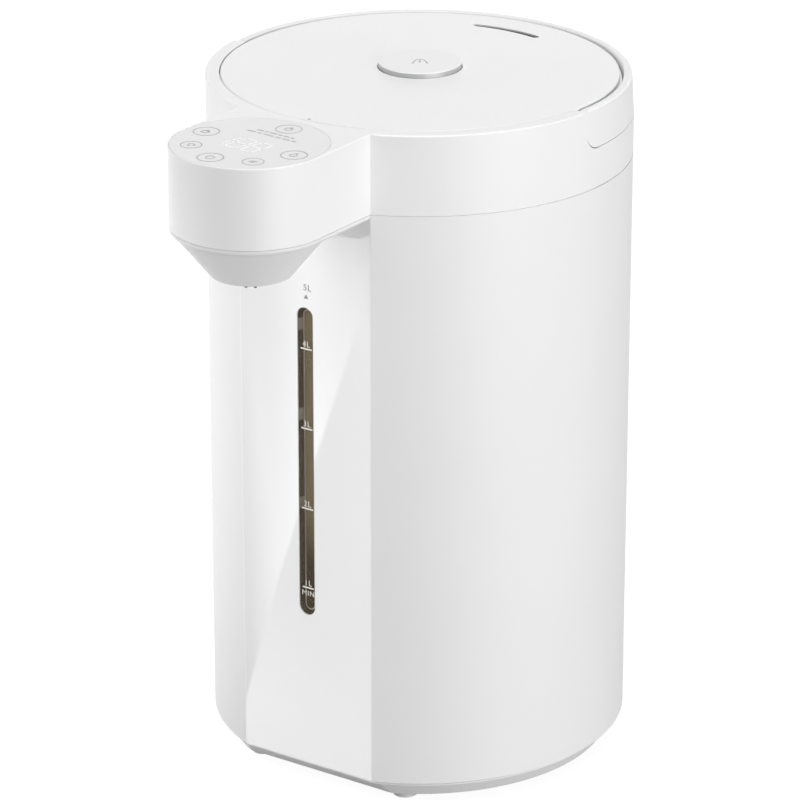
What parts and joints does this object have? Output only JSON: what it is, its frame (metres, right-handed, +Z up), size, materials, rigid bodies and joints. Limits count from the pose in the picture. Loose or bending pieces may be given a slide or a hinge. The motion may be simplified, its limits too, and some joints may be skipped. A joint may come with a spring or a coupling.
{
  "type": "hot water dispenser",
  "caption": "Electric hot water dispenser with a round tank body, flat front with a level window, overhanging spout head, lift-off lid with a release button and a swing-up carry handle.",
  "frame": {"origin": "on the round body's axis, in the plane that the feet stand on", "axes": "+Z up along the body's axis, -Y towards the spout at the front, +X to the right seen from the front"},
  "size_m": [0.21, 0.2849, 0.3543],
  "materials": {
    "shell_white": "satin moulded",
    "panel_white": "polished gloss",
    "collar_white": "satin moulded",
    "lid_white": "fine satin moulded",
    "button_white": "satin moulded",
    "handle_white": "satin moulded",
    "base_grey": "satin moulded",
    "touch_grey": "satin film",
    "lens_brown": "clear tinted",
    "clear_glass": "clear",
    "steel": "fine brushed",
    "zinc_steel": "zinc plated",
    "nozzle_chrome": "polished",
    "clear_silicone": "translucent matt",
    "foot_rubber": "matt",
    "dark_plastic": "satin",
    "frame_plastic": "satin",
    "felt": "needled felt",
    "heater_aluminium": "cast",
    "motor_steel": "plated",
    "sensor_brass": "bright",
    "board_green": "solder mask",
    "component_black": "satin",
    "wire_grey": "sleeved"
  },
  "bodies": {
    "body": {"rubber_feet": "foot_rubber", "base_cover": "base_grey", "base_screws": "zinc_steel", "outer_shell": "shell_white", "front_panel": "panel_white", "level_window": "lens_brown", "level_tube": "clear_glass", "inner_pot": "steel", "pot_floor": "steel", "pot_seal": "clear_silicone", "insulation_jacket": "felt", "upper_frame": "frame_plastic", "tie_rods": "zinc_steel", "frame_screws": "zinc_steel", "collar_screws": "zinc_steel", "heater_plate": "heater_aluminium", "temperature_sensor": "sensor_brass", "thermal_cutout": "dark_plastic", "pump_motor": "motor_steel", "pump_housing": "frame_plastic", "pump_cover": "frame_plastic", "suction_hose": "clear_silicone", "delivery_hose": "clear_silicone", "outlet_hose": "clear_silicone", "power_board": "board_green", "board_parts": "component_black", "board_screws": "zinc_steel", "power_inlet": "dark_plastic", "inlet_pins": "sensor_brass", "wire_loom": "wire_grey", "top_collar": "collar_white", "touch_panel": "touch_grey", "display_module": "dark_plastic", "control_board": "board_green", "control_screws": "zinc_steel", "spout_cowl": "collar_white", "spout_nozzle": "nozzle_chrome", "handle_pins": "zinc_steel"},
    "lid": {"lid_cover": "lid_white", "lid_body": "lid_white", "lid_screws": "zinc_steel", "lid_inner_plate": "steel", "lid_seal": "clear_silicone", "steam_vent": "dark_plastic", "button_spring": "zinc_steel"},
    "button": {"lid_button": "button_white"},
    "front_latch": {"latch_front": "frame_plastic"},
    "rear_latch": {"latch_rear": "frame_plastic"},
    "handle": {"handle_arms": "handle_white", "handle_grip": "handle_white"},
    "impeller": {"pump_impeller": "frame_plastic"}
  },
  "joints": [
    {"name": "lid_lift", "type": "slide", "parent": "body", "child": "lid", "axis": [0, 0, 1], "range_m": [0, 0.16]},
    {"name": "button_press", "type": "slide", "parent": "lid", "child": "button", "axis": [0, 0, -1], "range_m": [0, 0.004], "stiffness_N_per_m": 300, "springref_m": -0.004, "deforming": ["button_spring"]},
    {"name": "front_latch_slide", "type": "slide", "parent": "lid", "child": "front_latch", "axis": [0, 1, 0], "range_m": [0, 0.004]},
    {"name": "rear_latch_slide", "type": "slide", "parent": "lid", "child": "rear_latch", "axis": [0, -1, 0], "range_m": [0, 0.004]},
    {"name": "handle_swing", "type": "hinge", "parent": "body", "child": "handle", "pos_m": [0, -0.0026, 0.3446], "axis": [1, 0, 0], "range_deg": [0, 90]},
    {"name": "impeller_spin", "type": "hinge", "parent": "body", "child": "impeller", "pos_m": [0, -0.05799, 0.036], "axis": [0, 0, 1], "continuous": true}
  ],
  "couplings": [
    {"joint": "front_latch_slide", "follows": "button_press", "ratio": 1},
    {"joint": "rear_latch_slide", "follows": "button_press", "ratio": 1}
  ]
}
